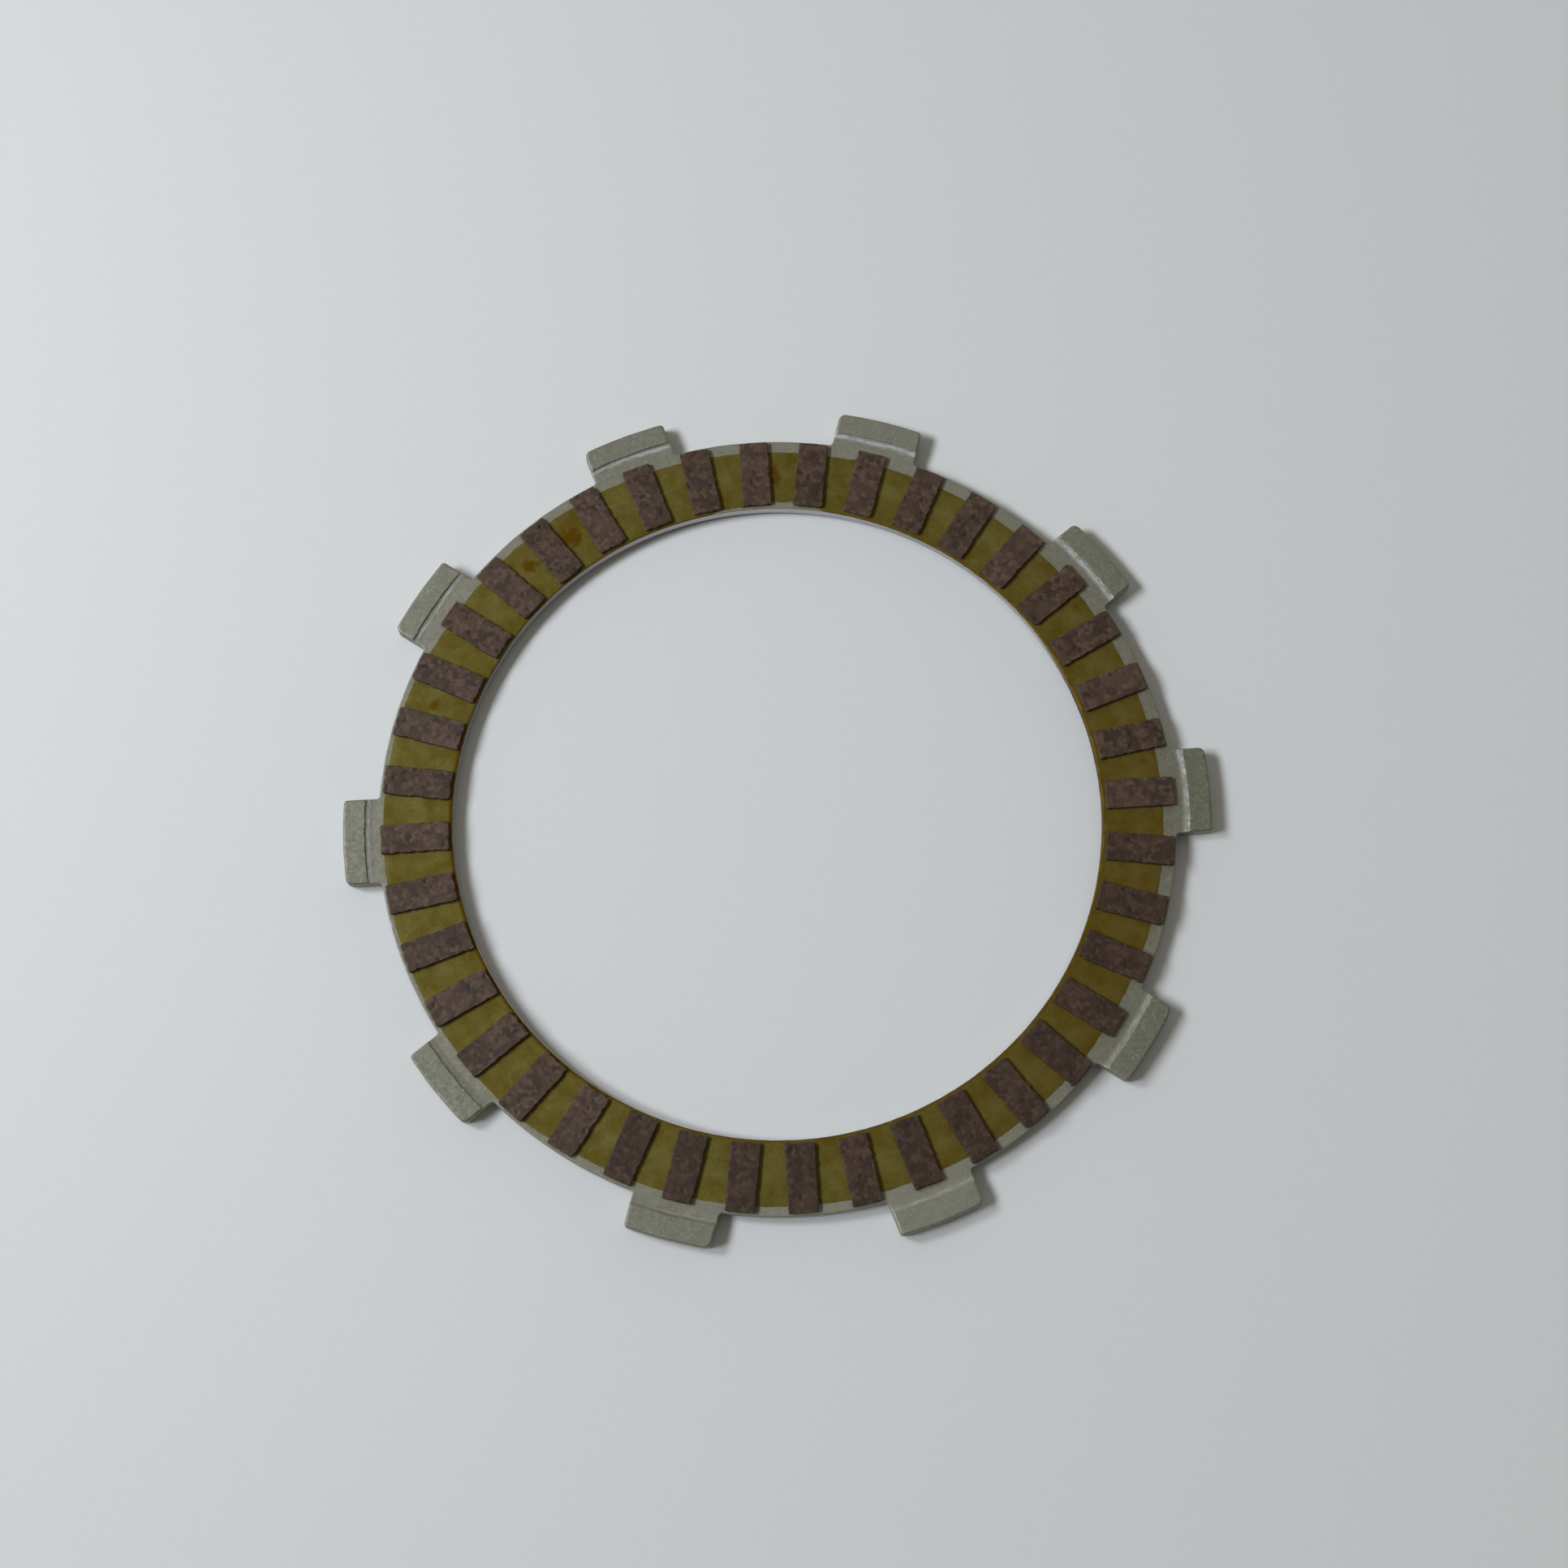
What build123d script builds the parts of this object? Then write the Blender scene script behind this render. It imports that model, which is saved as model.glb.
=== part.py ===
"""Friction disc of a multi-plate wet clutch.

A die-cast aluminium ring with driving lugs around its rim carries a bonding film and a circle
of short radial friction pads on each face.

Frame: millimetres. Z is the disc's axis, z = 0 its middle plane, and +X runs through the middle
of a lug. Seen from +Z, lugs and pads are counted counter-clockwise from +X.
"""

import math
import os

from build123d import *

# Core ring
BORE_DIAMETER = 94.0
RING_WIDTH = 10.7
CORE_THICKNESS = 1.6
BORE_EDGE_BREAK = 0.15

# Driving lugs. The lug's outer block is thicker than the ring, and a sloped step joins the two.
LUG_COUNT = 10
LUG_WIDTH = 12.5
LUG_REACH = 5.1
LUG_THICKNESS = 2.4
LUG_LAND = 1.7
STEP_RUN = 0.45
STEP_FOOT_RADIUS = 0.3
STEP_CREST_RADIUS = 0.15
LUG_LEADING_CORNER = 1.0
LUG_TRAILING_CORNER = 0.5
LUG_ROOT_RADIUS = 0.5
LUG_EDGE_BREAK = 0.25

# Friction pads, one in line with each lug and the rest spread evenly between the lugs
PADS_PER_LUG = 4
PAD_WIDTH = 4.3
PAD_THICKNESS = 0.65
PAD_INNER_MARGIN = 0.5
PAD_OUTER_MARGIN = 0.35
PAD_CORNER_RADIUS = 0.2

# Bonding film. It is sprayed on slightly off centre, and leaves a bare strip along the rim.
FILM_THICKNESS = 0.05
FILM_EDGE_MARGIN = 1.6
FILM_OFFSET = 0.61
FILM_OFFSET_ANGLE = 198.3

# Sizes that follow from those above
BORE_RADIUS = BORE_DIAMETER / 2
RING_RADIUS = BORE_RADIUS + RING_WIDTH
TIP_RADIUS = RING_RADIUS + LUG_REACH
STEP_FOOT = RING_RADIUS + LUG_LAND
STEP_CREST = STEP_FOOT + STEP_RUN
CORE_TOP = CORE_THICKNESS / 2
LUG_TOP = LUG_THICKNESS / 2
PAD_COUNT = LUG_COUNT * PADS_PER_LUG
PAD_INNER = BORE_RADIUS + PAD_INNER_MARGIN
PAD_LENGTH = RING_RADIUS - PAD_OUTER_MARGIN - PAD_INNER
PAD_MID_RADIUS = PAD_INNER + PAD_LENGTH / 2
PAD_BASE = CORE_TOP + FILM_THICKNESS
FILM_RADIUS = RING_RADIUS - FILM_EDGE_MARGIN

# Points nearer to each other than this are one point
SAME_POINT = 0.001


def distance_from_axis(point):
    return math.hypot(point.X, point.Y)


def corners_at(section, radius):
    """The corners of a turned section, drawn with X as the radius, that lie at one radius."""
    return section.vertices().filter_by_position(Axis.X, radius - SAME_POINT, radius + SAME_POINT)


def make_core_plate():
    """The casting: the outline of a ring with lugs, turned down to its section."""
    with BuildSketch() as lug:
        with Locations((RING_RADIUS, 0)):
            Rectangle(2 * LUG_REACH, LUG_WIDTH)
        Circle(TIP_RADIUS, mode=Mode.INTERSECT)
        trailing, leading = lug.vertices().sort_by(distance_from_axis)[-2:].sort_by(Axis.Y)
        fillet(leading, LUG_LEADING_CORNER)
        fillet(trailing, LUG_TRAILING_CORNER)

    with BuildPart() as core_plate:
        with BuildSketch(Plane.XY.offset(-LUG_TOP)) as outline:
            Circle(RING_RADIUS)
            with PolarLocations(0, LUG_COUNT):
                add(lug.sketch)
            roots = outline.vertices().filter_by(
                lambda vertex: abs(distance_from_axis(vertex) - RING_RADIUS) < SAME_POINT
            )
            fillet(roots, LUG_ROOT_RADIUS)
        extrude(amount=LUG_THICKNESS)
        edges_by_height = core_plate.edges().group_by(Axis.Z)
        chamfer(edges_by_height[0] + edges_by_height[-1], LUG_EDGE_BREAK)

        past_tips = TIP_RADIUS + LUG_REACH
        with BuildSketch(Plane.XZ) as section:
            with BuildLine():
                Polyline(
                    (BORE_RADIUS, -CORE_TOP),
                    (BORE_RADIUS, CORE_TOP),
                    (STEP_FOOT, CORE_TOP),
                    (STEP_CREST, LUG_TOP),
                    (past_tips, LUG_TOP),
                    (past_tips, -LUG_TOP),
                    (STEP_CREST, -LUG_TOP),
                    (STEP_FOOT, -CORE_TOP),
                    close=True,
                )
            make_face()
            chamfer(corners_at(section, BORE_RADIUS), BORE_EDGE_BREAK)
            fillet(corners_at(section, STEP_FOOT), STEP_FOOT_RADIUS)
            fillet(corners_at(section, STEP_CREST), STEP_CREST_RADIUS)
        revolve(axis=Axis.Z, mode=Mode.INTERSECT)
    return core_plate.part


def pad_outlines(count, start_angle=0.0):
    """The pads' outlines around the open sketch, the first one at start_angle."""
    with PolarLocations(PAD_MID_RADIUS, count, start_angle=start_angle):
        RectangleRounded(PAD_LENGTH, PAD_WIDTH, PAD_CORNER_RADIUS)


def make_bond_film(side):
    """The film on one face, +1 for the upper and -1 for the lower, with glue under every pad."""
    offset_angle = math.radians(FILM_OFFSET_ANGLE)
    centre = (FILM_OFFSET * math.cos(offset_angle), FILM_OFFSET * math.sin(offset_angle))
    with BuildPart() as bond_film:
        with BuildSketch(Plane.XY.offset(side * CORE_TOP)):
            with Locations(centre):
                Circle(FILM_RADIUS)
            pad_outlines(PAD_COUNT)
            Circle(BORE_RADIUS + BORE_EDGE_BREAK, mode=Mode.SUBTRACT)
        extrude(amount=side * FILM_THICKNESS)
    return bond_film.part


def make_pad_pair(angle):
    """The upper and the lower pad that lie over each other at one angle around the disc."""
    with BuildPart() as pad_pair:
        with BuildSketch(Plane.XY.offset(PAD_BASE)):
            pad_outlines(1, start_angle=angle)
        extrude(amount=PAD_THICKNESS)
        mirror(about=Plane.XY)
    return pad_pair.part


def write_part(part, name):
    part.label = name
    export_step(part, f"parts/{name}.step")


os.makedirs("parts", exist_ok=True)
write_part(make_core_plate(), "core_plate")
write_part(make_bond_film(+1), "bond_film_top")
write_part(make_bond_film(-1), "bond_film_bottom")
for station in range(PAD_COUNT):
    write_part(make_pad_pair(station * 360 / PAD_COUNT), f"friction_pads_{station + 1:02d}")
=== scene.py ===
"""Looks of a wet-clutch friction disc: a die-cast ring with ten lugs, its film and its pads.

Shapes are worked out in millimetres, and make_mesh turns them into metres. Angles are in degrees,
counter-clockwise from +X as seen from above, and +X runs through the middle of a lug.
"""

import math
import random

import bpy
import numpy as np
from mathutils import Euler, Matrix, Vector, kdtree, noise
from mathutils.geometry import delaunay_2d_cdt


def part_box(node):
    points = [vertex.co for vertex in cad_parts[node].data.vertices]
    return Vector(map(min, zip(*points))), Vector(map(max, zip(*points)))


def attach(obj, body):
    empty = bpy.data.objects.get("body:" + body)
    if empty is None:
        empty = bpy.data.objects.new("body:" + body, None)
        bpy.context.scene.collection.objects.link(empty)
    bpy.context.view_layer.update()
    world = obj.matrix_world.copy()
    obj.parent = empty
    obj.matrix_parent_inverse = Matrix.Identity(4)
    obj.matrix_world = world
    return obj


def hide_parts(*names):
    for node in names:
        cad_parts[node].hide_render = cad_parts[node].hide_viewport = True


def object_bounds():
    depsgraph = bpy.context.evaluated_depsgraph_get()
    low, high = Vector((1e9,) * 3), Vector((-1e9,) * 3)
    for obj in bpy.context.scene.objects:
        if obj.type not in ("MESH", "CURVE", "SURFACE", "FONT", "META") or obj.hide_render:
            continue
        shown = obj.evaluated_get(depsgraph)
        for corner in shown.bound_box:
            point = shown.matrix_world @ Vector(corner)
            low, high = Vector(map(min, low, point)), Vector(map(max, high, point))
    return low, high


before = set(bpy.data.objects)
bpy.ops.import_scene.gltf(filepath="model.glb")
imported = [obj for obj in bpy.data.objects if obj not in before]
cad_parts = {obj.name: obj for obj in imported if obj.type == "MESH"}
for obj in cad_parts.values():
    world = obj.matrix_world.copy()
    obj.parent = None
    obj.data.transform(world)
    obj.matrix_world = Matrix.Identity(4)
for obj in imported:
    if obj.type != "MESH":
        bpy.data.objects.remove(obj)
cad_low, cad_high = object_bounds()

MM = 0.001


def box_mm(node):
    """A CAD node's lowest and highest corners in millimetres."""
    low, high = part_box(node)
    return low / MM, high / MM


# Sizes read from the CAD nodes
CORE_HIGH = box_mm("core_plate")[1]
FILM_LOW, FILM_HIGH = box_mm("bond_film_top")
PAD_LOW, PAD_HIGH = box_mm("friction_pads_01")
TIP_RADIUS = CORE_HIGH.x
LUG_TOP = CORE_HIGH.z
CORE_TOP = FILM_LOW.z
FILM_TOP = FILM_HIGH.z
PAD_TOP = PAD_HIGH.z
PAD_INNER = PAD_LOW.x
PAD_OUTER = PAD_HIGH.x
PAD_WIDTH = PAD_HIGH.y - PAD_LOW.y
PAD_COUNT = sum(name.startswith("friction_pads_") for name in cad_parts)

# The casting's outline
LUG_COUNT = 10
LUG_WIDTH = 12.5
BORE_RADIUS = 47.0
RING_RADIUS = 57.7
ROOT_RADIUS = 0.5
LEADING_CORNER = 1.0
TRAILING_CORNER = 0.5

# How much painted light each lug carries, counter-clockwise from +X: the share by which its skin is
# painted paler than on the dullest lugs
LUG_PAINTED_LIGHT = (0.0, 0.15, 0.35, 0.1, 0.1, 0.0, 0.0, 0.1, 0.45, 0.05)

# The turned step up to the lug blocks, which are a little worn. Its circle lies off centre.
STEP_FOOT = 59.56
STEP_RUN = 0.1
STEP_OFFSET = 0.15
STEP_OFFSET_ANGLE = 110.0
BLOCK_WEAR = 0.1

# The burr below the step: how it rises, the circle along which it is bright, and where on the disc
# it is wide, faint or missing. Its brightness is partly the burnished burr's own tone and partly a
# painted highlight and glint that follow where the light catches it.
BURR_START = 58.65
BURR_END = 59.3
BURR_HEIGHT = 0.085
TOE_HEIGHT = 0.13
BURR_RADIUS = 59.1
BURR_WANDER = 0.6
BURR_OFFSET = 0.13
BURR_OFFSET_ANGLE = 115.0
BURR_WIDE_ANGLE = 45.0
BURR_DIM_ANGLE = 308.0
BURR_UNLIT_ANGLE = 225.0

# The casting's edges, and how its bare skin sinks and fades in from under the film
BORE_CHAMFER = 0.15
LUG_EDGE_ROUNDING = 0.28
RIM_EDGE_ROUNDING = 0.12
SKIN_SINK = 0.012
SKIN_FADE = 1.5

# Adhesive has run down the bore all over its right. On its left it has run only near the faces. It
# fades out over the last degrees of each stretch. A painted reflection makes the bore palest at the
# top.
RIGHT_STAIN_ANGLE = 2.0
RIGHT_STAIN_HALF = 48.0
RIGHT_STAIN_FADE = 36.0
LEFT_STAIN_ANGLE = 170.0
LEFT_STAIN_HALF = 42.0
LEFT_STAIN_FADE = 20.0
BORE_PAINTED_REFLECTION_ANGLE = 98.0

# The casting's mesh: how far inside its outlines further rows of points run, and the spacing of the
# points, fine where the cast skin shows and wide under the film
EDGE_INSETS = (0.02, 0.07, 0.15, 0.28)
BORE_INSETS = (0.07, 0.15, 0.3)
WALL_ROWS = 3
OUTLINE_SPACING = 0.22
LUG_SPACING = 0.22
RIM_SPACING = 0.34
STEP_SPACING = 0.085
STEP_ZONE = 0.2
HIDDEN_SPACING = 1.1
RIM_START = 55.0
RIM_END = 57.4

# Staggered rows of points lie this share of the points' spacing apart
ROW_SHARE = 0.87

# Smooth shading breaks where faces meet at more than this angle
SHARP_ANGLE = 40.0

# The film's edges. The outer one bulges on the left, and runs out in tongues under the pads. The
# inner one laps over the bore's chamfer, and is worn back and notched at the top.
FILM_INNER = BORE_RADIUS + 0.05
FILM_INNER_OFFSET = 0.09
FILM_INNER_OFFSET_ANGLE = 150.0
FILM_RADIUS = 56.15
FILM_OFFSET = 0.45
FILM_OFFSET_ANGLE = 198.0
FILM_BULGE = 0.45
FILM_BULGE_ANGLE = 191.0
FILM_BULGE_HALF = 40.0
FILM_TONGUE_RADIUS = 57.2
FILM_TONGUE_ANGLE = 1.85
FILM_WORN_ANGLE = 88.0
FILM_WORN_HALF = 9.5
FILM_WORN_DEPTH = 0.42
FILM_NOTCH_ANGLE = 85.5
FILM_NOTCH_WIDTH = 7.0
FILM_NOTCH_DEPTH = 0.6

# The share of its thickness that the film keeps at its edges, and how far it sinks into the casting
FILM_EDGE_SHARE = 0.35
FILM_SINK = 0.02

# The film's mesh: the degrees between its columns, its rows, and further rows at its inner edge
FILM_COLUMN = 0.3
FILM_ROWS = 30
FILM_LIP_SHARES = (0.0, 0.006, 0.012, 0.02)

# The side of the disc on which the film is browner, and the side on which its inner edge is amber
FILM_BROWN_ANGLE = 340.0
FILM_LIP_ANGLE = 196.0

# Amber spots where the adhesive is thicker: angle, radius, half length across, half length outwards
# and strength
AMBER_SPOTS = (
    (86.7, 52.2, 0.8, 1.5, 0.9),
    (122.3, 53.4, 2.8, 2.6, 0.5),
    (122.2, 52.5, 1.8, 1.8, 1.0),
    (130.3, 52.9, 1.0, 1.2, 1.0),
    (129.2, 52.4, 1.1, 0.5, 0.7),
    (157.8, 52.8, 0.7, 0.7, 0.85),
    (174.6, 50.4, 1.0, 0.7, 0.35),
    (32.0, 54.3, 0.7, 0.5, 0.4),
    (75.5, 51.8, 0.5, 0.7, 0.35),
    (5.1, 53.8, 0.5, 0.5, 0.35),
    (355.0, 50.3, 0.5, 0.6, 0.35),
)

# The pads' edges and mesh
PAD_CORNER = 0.22
PAD_EDGE_ROUNDING = 0.1
PAD_INSETS = (0.03, 0.07, 0.12, 0.22)
PAD_SPACING = 0.2
PAD_WALL_ROWS = 3
PAD_BITE = 0.13
PAD_BITE_REACH = 0.5

# How far a pad may sit off its place and waver, along and across it, and how far it may be turned
PAD_SHIFTS = (0.04, 0.05)
PAD_TURN = 0.4

# How many pale flakes, dark patches and pits a pad has, how far along and across it they may lie
# from its middle, and how high or deep they are
PAD_FLAKES = (6, 10)
PAD_PATCHES = (1, 3)
PAD_PITS = (1, 4)
SPOT_RANGE = (4.7, 2.0)
FLAKE_HEIGHT = 0.012
PIT_DEPTH = 0.07
PAD_SINK = 0.03

# The stretch of the ring, at the lower right, whose pads are darker
DARK_PADS_ANGLE = 300.0
DARK_PADS_HALF = 62.0


# ---------------------------------------------------------------- plane shapes


def arc(centre, radius, start, end, spacing=0.05):
    """Points along an arc, angles in degrees."""
    count = max(2, math.ceil(math.radians(abs(end - start)) * radius / spacing) + 1)
    angles = np.radians(np.linspace(start, end, count))
    return np.array(centre) + radius * np.column_stack((np.cos(angles), np.sin(angles)))


def angle_of(point):
    return math.degrees(math.atan2(point[1], point[0]))


def angles_of(points):
    return np.degrees(np.arctan2(points[:, 1], points[:, 0]))


def apart(angles, middle):
    """How far angles lie from a middle one, the shorter way round."""
    return np.abs((angles - middle + 180) % 360 - 180)


def turned(points, angle):
    """Plane points turned about the origin."""
    sine, cosine = math.sin(math.radians(angle)), math.cos(math.radians(angle))
    return points @ np.array(((cosine, sine), (-sine, cosine)))


def resampled(loop, spacing):
    """A closed loop again, with its points evenly spaced."""
    closed = np.vstack((loop, loop[:1]))
    lengths = np.hypot(*np.diff(closed, axis=0).T)
    along = np.concatenate(((0.0,), np.cumsum(lengths)))
    places = np.linspace(0, along[-1], round(along[-1] / spacing), endpoint=False)
    return np.column_stack([np.interp(places, along, closed[:, axis]) for axis in (0, 1)])


def left_normals(loop):
    """Unit normals on the left of a closed loop: its inside, if it runs counter-clockwise."""
    tangents = np.roll(loop, -1, axis=0) - np.roll(loop, 1, axis=0)
    tangents /= np.hypot(*tangents.T)[:, None]
    return np.column_stack((-tangents[:, 1], tangents[:, 0]))


def half_lug(corner):
    """Half a lug's outline: from the ring beside it, up its side, to the middle of its tip."""
    half = LUG_WIDTH / 2
    root_y = half + ROOT_RADIUS
    root = (math.sqrt((RING_RADIUS + ROOT_RADIUS) ** 2 - root_y**2), root_y)
    tip_y = half - corner
    tip = (math.sqrt((TIP_RADIUS - corner) ** 2 - tip_y**2), tip_y)
    return np.vstack(
        (
            arc((0, 0), RING_RADIUS, 180 / LUG_COUNT, angle_of(root)),
            arc(root, ROOT_RADIUS, angle_of(root) + 180, 270),
            arc(tip, corner, 90, angle_of(tip)),
            arc((0, 0), TIP_RADIUS, angle_of(tip), 0),
        )
    )


def casting_outline():
    """The whole outline of the casting, counter-clockwise."""
    trailing = half_lug(TRAILING_CORNER) * (1, -1)
    leading = half_lug(LEADING_CORNER)[::-1]
    lug = np.vstack((trailing[:-1], leading[:-1]))
    lugs = [turned(lug, index * 360 / LUG_COUNT) for index in range(LUG_COUNT)]
    return resampled(np.vstack(lugs), OUTLINE_SPACING)


def rounded_rectangle(length, width, corner):
    """A rectangle around the origin with round corners, counter-clockwise."""
    x, y = length / 2 - corner, width / 2 - corner
    corners = ((x, y, 0), (-x, y, 90), (-x, -y, 180), (x, -y, 270))
    return np.vstack([arc((cx, cy), corner, start, start + 90) for cx, cy, start in corners])


def spacing_at(radius):
    """How far apart the casting's face points are at each radius."""
    if radius < RIM_START:
        return HIDDEN_SPACING
    if radius < RIM_END:
        return RIM_SPACING
    if STEP_FOOT - STEP_ZONE < radius < STEP_FOOT + STEP_RUN + STEP_ZONE:
        return STEP_SPACING
    return LUG_SPACING


def ring_points():
    """Points for the inside of the casting's face, in rings that lie closer at the lugs."""
    points = []
    radius = BORE_RADIUS + 2 * BORE_INSETS[-1]
    ring = 0
    while radius < TIP_RADIUS:
        spacing = spacing_at(radius)
        count = round(2 * math.pi * radius / spacing)
        angles = (np.arange(count) + 0.5 * (ring % 2)) * 2 * math.pi / count
        points.append(radius * np.column_stack((np.cos(angles), np.sin(angles))))
        radius += spacing * ROW_SHARE
        ring += 1
    return np.vstack(points)


def inside_casting(points, outline, margin):
    """Those points that lie inside the outline, further from it than the margin."""
    sector = 360 / LUG_COUNT
    radii = np.hypot(*points.T)
    from_lug = (angles_of(points) + sector / 2) % sector - sector / 2
    across = radii * np.sin(np.radians(from_lug))
    rough = (radii < RING_RADIUS) | (np.abs(across) < LUG_WIDTH / 2)
    return points[rough & (distances_to(points, outline) > margin)]


def distances_to(points, targets):
    """Each point's distance to the nearest target point."""
    tree = kdtree.KDTree(len(targets))
    for index, (x, y) in enumerate(targets):
        tree.insert((x, y, 0), index)
    tree.balance()
    return np.array([tree.find((x, y, 0))[2] for x, y in points])


def grid_points(length, width, spacing, margin):
    """Staggered points inside a rectangle around the origin."""
    rows = round((width - 2 * margin) / (spacing * ROW_SHARE))
    columns = round((length - 2 * margin) / spacing)
    points = []
    for row, y in enumerate(np.linspace(margin - width / 2, width / 2 - margin, rows + 1)):
        shift = 0.25 * spacing * (1 if row % 2 else -1)
        x = np.linspace(margin - length / 2, length / 2 - margin, columns + 1) + shift
        points.append(np.column_stack((x, np.full(len(x), y))))
    return np.vstack(points)


# ---------------------------------------------------------------- slabs


class Slab:
    """A flat body: a triangulated face, its mirror image underneath, and a wall along each outline.

    points holds every plane point, outlines the index runs of the outer loop and of the bore, if
    any, and inset how far each point lies from its outline.
    """

    def __init__(self, outer, outer_insets, interior, bore=None, bore_insets=()):
        loops = [(outer, outer_insets, 1)]
        if bore is not None:
            loops.append((bore, bore_insets, -1))
        groups, insets, edges = [], [], []
        self.outlines = []
        total = 0
        for loop, distances, side in loops:
            self.outlines.append(np.arange(total, total + len(loop)))
            for distance in (0, *distances):
                groups.append(loop + side * distance * left_normals(loop))
                insets.append(np.full(len(loop), distance))
                run = np.arange(total, total + len(loop))
                edges.extend(zip(run.tolist(), np.roll(run, -1).tolist()))
                total += len(loop)
        groups.append(interior)
        insets.append(np.full(len(interior), math.inf))
        self.points = np.vstack(groups)
        self.inset = np.concatenate(insets)
        self.triangles = self.triangulated(edges)

    def triangulated(self, edges):
        """Delaunay triangles between all points, without those past the outline or in the bore."""
        corners = [Vector(point) for point in self.points]
        _, _, faces, origins, _, _ = delaunay_2d_cdt(corners, edges, [], 0, 1e-6)
        first = np.array([origin[0] for origin in origins])
        faces = first[np.array(faces)]
        for outline in self.outlines:
            faces = faces[~np.isin(faces, outline).all(axis=1)]
        return faces

    def solid(self, top, bottom, wall_rows, ruffle=None):
        """Vertices and faces of the body between two heights, each given for every plane point.

        ruffle moves wall points: it takes points in space and returns how far out each goes.
        """
        count = len(self.points)
        vertices = [np.column_stack((self.points, top)), np.column_stack((self.points, bottom))]
        faces = [self.triangles, self.triangles[:, ::-1] + count]
        quads = []
        total = 2 * count
        for position, outline in enumerate(self.outlines):
            outwards = -left_normals(self.points[outline]) * (1 if position == 0 else -1)
            rows = [outline]
            for row in range(1, wall_rows + 1):
                share = row / (wall_rows + 1)
                height = top[outline] * (1 - share) + bottom[outline] * share
                places = np.column_stack((self.points[outline], height))
                if ruffle is not None:
                    places[:, :2] += outwards * ruffle(places)[:, None]
                vertices.append(places)
                rows.append(np.arange(total, total + len(outline)))
                total += len(outline)
            rows.append(outline + count)
            for upper, lower in zip(rows, rows[1:]):
                quad = np.column_stack((upper, lower, np.roll(lower, -1), np.roll(upper, -1)))
                quads.append(quad if position == 0 else quad[:, ::-1])
        return np.vstack(vertices), [*np.vstack(faces).tolist(), *np.vstack(quads).tolist()]


def rounding(inset, radius):
    """How far an edge of that radius has dropped at each distance from the outline."""
    reach = np.clip(radius - inset, 0, radius)
    return radius - np.sqrt(radius**2 - reach**2)


def ripple(points, size, seed):
    """Smooth noise from -1 to 1 at points in space, with waves of about that size."""
    shift = Vector((seed * 17.3, seed * 5.1, seed * 9.7))
    return np.array([noise.noise(Vector(point) / size + shift) for point in points])


def direction_of(azimuth, elevation):
    """A unit vector that points that way."""
    turn, rise = math.radians(azimuth), math.radians(elevation)
    level = math.cos(rise)
    return Vector((math.cos(turn) * level, math.sin(turn) * level, math.sin(rise)))


def in_space(points, height):
    """Plane points put at one height."""
    return np.column_stack((points, np.full(len(points), height)))


def eased(values):
    """A smooth step from 0 at 0 to 1 at 1."""
    values = np.clip(values, 0, 1)
    return values * values * (3 - 2 * values)


# ---------------------------------------------------------------- objects


def make_mesh(name, vertices, faces):
    """A mesh in metres with smooth shading that breaks at sharp edges."""
    mesh = bpy.data.meshes.new(name)
    mesh.from_pydata((vertices * MM).tolist(), [], faces)
    mesh.polygons.foreach_set("use_smooth", np.ones(len(mesh.polygons), bool))
    mesh.set_sharp_from_angle(angle=math.radians(SHARP_ANGLE))
    mesh.validate()
    return mesh


def make_object(name, mesh, materials):
    piece = bpy.data.objects.new(name, mesh)
    for material in materials:
        mesh.materials.append(material)
    bpy.context.scene.collection.objects.link(piece)
    return piece


def make_piece(name, mesh, materials, node):
    """An object that rides on the disc in place of a CAD node."""
    piece = make_object(name, mesh, materials)
    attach(piece, "root")
    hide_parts(node)
    return piece


def set_attribute(mesh, name, values):
    """A number for each vertex, for the mesh's materials to read."""
    attribute = mesh.attributes.new(name, "FLOAT", "POINT")
    attribute.data.foreach_set("value", np.asarray(values, np.float32))


# ---------------------------------------------------------------- casting


def section_height(radii, on_lug):
    """The casting's half thickness at each radius, without edge roundings."""
    profile = ((BURR_START, 0), (BURR_END, BURR_HEIGHT), (STEP_FOOT, TOE_HEIGHT))
    land = CORE_TOP + np.interp(radii, *zip(*profile))
    return land + (LUG_TOP - BLOCK_WEAR - land) * on_lug


def casting_face(slab, seed):
    """Heights of one face of the casting: the turned section, its worn edges and the cast skin."""
    places = in_space(slab.points, seed)
    radii = np.hypot(*slab.points.T)
    centre = STEP_OFFSET * np.array(direction_of(STEP_OFFSET_ANGLE, 0)[:2])
    ragged = 0.06 * ripple(places, 1.1, seed + 1) + 0.03 * ripple(places, 0.3, seed + 2)
    turned_radii = np.hypot(*(slab.points - centre).T) + ragged
    on_lug = eased((turned_radii - STEP_FOOT) / STEP_RUN)
    height = section_height(turned_radii, on_lug)
    edge = RIM_EDGE_ROUNDING + (LUG_EDGE_ROUNDING - RIM_EDGE_ROUNDING) * on_lug
    near_bore = radii < BORE_RADIUS + BORE_INSETS[-1] + 0.01
    chamfer = np.clip(BORE_CHAMFER - slab.inset, 0, None)
    drop = np.where(near_bore, chamfer, rounding(slab.inset, edge))
    skin = 0.006 * ripple(places, 0.5, seed + 3) + 0.02 * ripple(places, 1.6, seed + 4) * on_lug
    bare = eased((radii - RIM_START) / SKIN_FADE)
    return height - drop + (skin - SKIN_SINK) * bare


def cast_ruffle(places):
    """How far the casting's rough walls stand out at each place."""
    return 0.03 * ripple(places, 0.5, 5)


def wandered(vertices):
    """The casting's points, moved in or out a little towards the rim, as a cast outline wanders."""
    radii = np.hypot(vertices[:, 0], vertices[:, 1])
    wave = 0.04 * ripple(vertices * (1, 1, 0), 2.5, 7) * eased(radii - RIM_START)
    moved = vertices.copy()
    moved[:, :2] *= (1 + wave / radii)[:, None]
    return moved


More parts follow.
